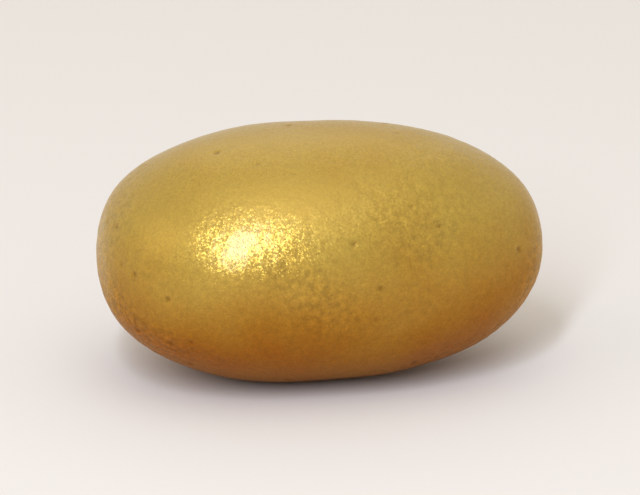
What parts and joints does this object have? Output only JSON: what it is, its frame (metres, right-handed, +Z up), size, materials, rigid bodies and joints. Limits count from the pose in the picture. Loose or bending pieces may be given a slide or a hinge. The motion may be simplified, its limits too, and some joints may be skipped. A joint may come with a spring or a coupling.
{
  "type": "sugared almond",
  "caption": "Plump oval sugared almond with a hard panned shell in gold pearl lustre, blunt-ended and lying on its broad side.",
  "frame": {"origin": "on the table, under the middle of the almond's box", "axes": "+X along the almond's length, towards its narrower end; +Z up, through its thickness"},
  "size_m": [0.032, 0.0222, 0.0179],
  "materials": {
    "gold_sugar_shell": "satin"
  },
  "bodies": {
    "root": {"sugared_almond": "gold_sugar_shell"}
  },
  "joints": []
}
